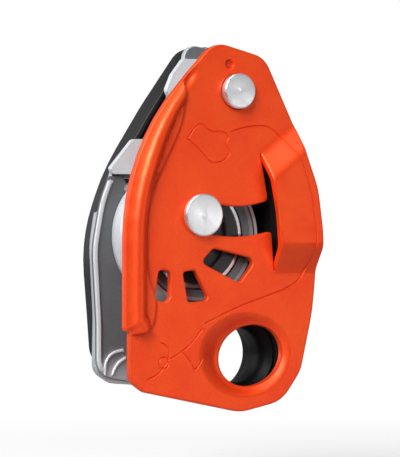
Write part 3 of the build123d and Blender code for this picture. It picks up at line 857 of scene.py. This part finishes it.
def fixed_plate():
    """Flat sheet with softly tumbled edges and the arc window that the crank's drive pin passes."""
    bush_hole = (node_box("attachment_bush")[1].x - node_box("attachment_bush")[0].x) / 2
    window = slot_outline(cam_axis, 11.0, 2.6, 244, 272)
    holes = [circle(pivot, 4.0), circle(cam_axis, 4.0), circle(throat, bush_hole, 0.6), even(window, 0.5)]
    holes += [circle(p, rivet_radius + countersink, 0.5) for p in guard_screws + insert_rivets + guide_rivets]
    piece = formed("fixed_side_plate_detail", grey_sheet, even(rounded(fixed_corners, 6), 0.8), holes,
                   level(frame_front), level(node_box("fixed_side_plate")[1].y), 0.4, 0.7, 1.4)
    return stand_for(piece, "fixed_side_plate")


fixed_plate()


# ---- wear insert ----
insert_corners = [
    (-38.4, 55.2, 1), (-30.6, 55.2, 3), (-35.6, 44.0, 10), (-32.0, 16.0, 10), (-14.8, 10.6, 8),
    (-14.8, -9.6, 5),
    (-28.0, -8.4, 12), (-42.8, -5.6, 6), (-42.8, 10.0, 60), (-44.2, 33.0, 30), (-41.6, 47.2, 30),
]
insert_ribs = [
    [(-39.9, -6.2), (-39.8, -2.1), (-38.6, 0.0), (-36.8, 1.3), (-34.0, 1.8)],
    [(-37.2, -5.4), (-36.5, -3.6), (-35.1, -1.8), (-33.0, -0.6)],
]


def wear_insert():
    """Smooth sheet with a rolled edge at the left and two low ribs at the bottom, their tops painted bright
    as a highlight.
    """
    outline = outward_loops(even(rounded(insert_corners, 6), 0.6), [])[0]
    ribs = [smooth(rib, 0.4) for rib in insert_ribs]

    def front(where):
        x, z = where[:, 0], where[:, 1]
        gap = gap_to(where, outline, True)
        beside = ease((0.45 * np.maximum(z - 42, 0) - 39.5 - x) / 1.5)
        left = beside * ease((z + 5.5) / 3) * ease((54.5 - z) / 2)
        rim = 1.0 * left * (1 - ramp((gap - 1.2) / 0.7, 0.25))
        rib = 0.6 * (1 - ease(np.min([gap_to(where, r) for r in ribs], axis=0) / 0.9))
        return insert_front - np.maximum(rim, rib)

    rolled = longest_run(outline, (outline[:, 0] < -36.5) & (outline[:, 1] > -4.0) & (outline[:, 1] < 54.0))
    rows = [(rib, (-0.6, -0.2, 0.2, 0.6)) for rib in ribs] + [(rolled, (0.8, 1.15, 1.5, 1.85, 2.2))]
    holes = [circle(point, rivet_radius, 0.4) for point in insert_rivets]
    back = level(frame_front - 0.02)
    piece = formed("wear_insert_detail", wear_steel, outline, holes, front, back, 0.25, 0.05, 0.9, rows)
    return stand_for(piece, "rope_wear_insert")


wear_insert()


# ---- folding handle ----
grip_corners = [
    (-6.8, 96.0, 8), (4.0, 96.4, 5), (3.0, 84.0, 9), (-15.0, 66.5, 40), (-26.0, 48.0, 28), (-27.0, 30.0, 24),
    (-22.2, 14.0, 12), (-22.2, -4.2, 8), (-38.0, -4.2, 7), (-39.2, 12.0, 60), (-41.2, 36.0, 50),
    (-33.6, 57.2, 70), (-20.4, 77.4, 90),
]
grip_rim = 2.0
grip_floor = node_box("handle_wave_washer")[1].y + 0.1
rim_region = np.array([(-60, 3), (-37, 3), (-37, 44), (-9, 84), (10, 84), (10, 120), (-60, 120)], float)


def handle():
    """Rounded moulding, hollow-ground down the middle of its back, with a rim round the crank's side."""
    low, high = node_box("handle_grip")
    outline = outward_loops(even(rounded(grip_corners, 6), 0.9), [])[0]
    panel = shifted(outline, 4.6, True)

    def back(where):
        inside = depth_inside(where, panel)
        r = np.hypot(where[:, 0] - hinge[0], where[:, 1] - hinge[1])
        ribs = 0.35 * (0.5 + 0.5 * np.cos(2 * np.pi * where[:, 1] / 3.2)) * ease((where[:, 1] - 22) / 3)
        hollow = (0.9 + ribs * ease((84 - where[:, 1]) / 3)) * ease(inside / 1.6)
        return high.y - hollow - (high.y - 21.4 - hollow) * (1 - ease((r - 5.7) / 0.4))

    ring = circle(hinge, 5.9, 0.5)
    rows = [(np.vstack([ring, ring[:1]]), (-0.25, 0, 0.25))]
    grip = formed("handle_grip_detail", black_nylon, outline, [], level(grip_floor), back, 0.4, 3.4, 1.0,
                  rows, 6)
    outer = longest_run(outline, within(outline, rim_region))
    inner = shifted(outer, grip_rim, False)
    strip = even(np.vstack([outer, inner[::-1]]), 0.7)
    rim = formed("handle_rim_detail", black_nylon, strip, [], level(low.y), level(grip_floor + 0.3), 0.6,
                 0.05, 0.9)
    for piece in (grip, rim):
        stand_for(piece, "handle_grip")


handle()

# ---- finishes of the CAD pieces that stay ----
finish_cad(pin_steel, "side_plate_bush", "pivot_wave_washer", "cam_thrust_washer", "axle_rear_collar",
           "axle_rear_head", "crank_spacer", "cam_stop_pin", "wear_insert_rivets", "brake_guide_rivets",
           "guard_screws", "wheel_retaining_ring", "wheel_rivets", "crank_drive_pin", "handle_wave_washer",
           "pivot_sleeve")
finish_cad(spring_steel, "cam_return_spring")
finish_cad(bronze, "cam_bush", "crank_bush", "wheel_bush")
finish_cad(cam_steel, "eccentric_cam")
finish_cad(lever_steel, "release_crank", "handle_core")
finish_cad(hinge_steel, "handle_hinge_pin")
finish_cad(tab_steel, "brake_guide")
finish_cad(black_nylon, "rope_guard")
finish_cad(flange_light_and_shade, "wheel_front_flange")
finish_cad(wheel_metal, "wheel_rear_flange", "rope_ring")


# ---- floor, light and camera ----
def floor():
    """Pale floor below the object that fades into the white surround at its rim."""
    size, rings, spokes, drop = 1.6, 8, 64, 0.03
    z = cad_low.z - drop
    points = [(0, 0, z)]
    for i in range(1, rings + 1):
        for k in range(spokes):
            a = 2 * math.pi * k / spokes
            points.append((size * i / rings * math.cos(a), size * i / rings * math.sin(a), z))
    faces = [(0, 1 + k, 1 + (k + 1) % spokes) for k in range(spokes)]
    for i in range(rings - 1):
        for k in range(spokes):
            a, b = 1 + i * spokes + k, 1 + i * spokes + (k + 1) % spokes
            faces.append((a, a + spokes, b + spokes, b))
    mesh = bpy.data.meshes.new("floor")
    mesh.from_pydata(points, [], faces)
    piece = bpy.data.objects.new("floor", mesh)
    bpy.context.scene.collection.objects.link(piece)
    s = Shader("floor_white", Roughness=0.9, Specular_IOR_Level=0.1)
    s.set("Base Color", s.mix(s.noise(60, 2), (0.9, 0.9, 0.9, 1), (0.94, 0.94, 0.94, 1)))
    glow = s.tree.nodes.new("ShaderNodeEmission")
    seen = s.tree.nodes.new("ShaderNodeLightPath")
    s.link(seen.outputs["Is Camera Ray"], glow.inputs["Strength"])
    blend = s.tree.nodes.new("ShaderNodeMixShader")
    away = s.vector("LENGTH", s.where)
    s.link(s.between(away, 0.12, 0.4, 0.5, 1.0), blend.inputs["Fac"])
    s.tree.links.new(s.surface.outputs[0], blend.inputs[1])
    s.tree.links.new(glow.outputs[0], blend.inputs[2])
    s.tree.links.new(blend.outputs[0], s.tree.nodes["Material Output"].inputs["Surface"])
    mesh.materials.append(s.material)


def softbox(name, azimuth, elevation, distance, width, height, power):
    """Rectangular light aimed at the object. Azimuth 0 is in front, and positive is to the right."""
    light = bpy.data.lights.new(name, "AREA")
    light.shape = "RECTANGLE"
    light.size, light.size_y = width, height
    light.energy = power
    aim = (cad_low + cad_high) / 2
    a, e = math.radians(azimuth), math.radians(elevation)
    away = Vector((math.sin(a) * math.cos(e), -math.cos(a) * math.cos(e), math.sin(e)))
    lamp = bpy.data.objects.new(name, light)
    bpy.context.scene.collection.objects.link(lamp)
    lamp.location = aim + away * distance
    lamp.rotation_mode = "QUATERNION"
    lamp.rotation_quaternion = (-away).to_track_quat("-Z", "Y")


def surround(strength):
    """White behind the object, and a dimmer white as its fill light."""
    world = bpy.data.worlds.new("studio")
    world.use_nodes = True
    tree = world.node_tree
    backdrop = tree.nodes["Background"]
    backdrop.inputs["Color"].default_value = (1, 1, 1, 1)
    fill = tree.nodes.new("ShaderNodeBackground")
    fill.inputs["Color"].default_value = (1, 1, 1, 1)
    fill.inputs["Strength"].default_value = strength
    seen = tree.nodes.new("ShaderNodeLightPath")
    blend = tree.nodes.new("ShaderNodeMixShader")
    tree.links.new(seen.outputs["Is Camera Ray"], blend.inputs[0])
    tree.links.new(fill.outputs[0], blend.inputs[1])
    tree.links.new(backdrop.outputs[0], blend.inputs[2])
    tree.links.new(blend.outputs[0], tree.nodes["World Output"].inputs["Surface"])
    bpy.context.scene.world = world


def camera():
    """Long lens level with the object, 30 degrees round to its left."""
    view = bpy.data.cameras.new("camera")
    view.lens = 195.56
    view.sensor_width = 36.0
    view.clip_start, view.clip_end = 0.05, 20
    holder = bpy.data.objects.new("camera", view)
    bpy.context.scene.collection.objects.link(holder)
    holder.location = (-0.39355, -0.66252, 0.03913)
    holder.rotation_euler = (math.radians(90), 0, math.radians(-30))
    bpy.context.scene.camera = holder


floor()
surround(0.26)
softbox("key_left", azimuth=-50, elevation=32, distance=0.9, width=0.35, height=0.5, power=11.0)
softbox("back_left", azimuth=-145, elevation=12, distance=0.9, width=0.4, height=0.9, power=2.2)
softbox("front_right", azimuth=33, elevation=-13, distance=1.0, width=0.45, height=0.5, power=2.9)
softbox("top", azimuth=-30, elevation=72, distance=0.9, width=0.5, height=0.4, power=2.5)
camera()
bpy.context.scene.view_settings.view_transform = "Standard"
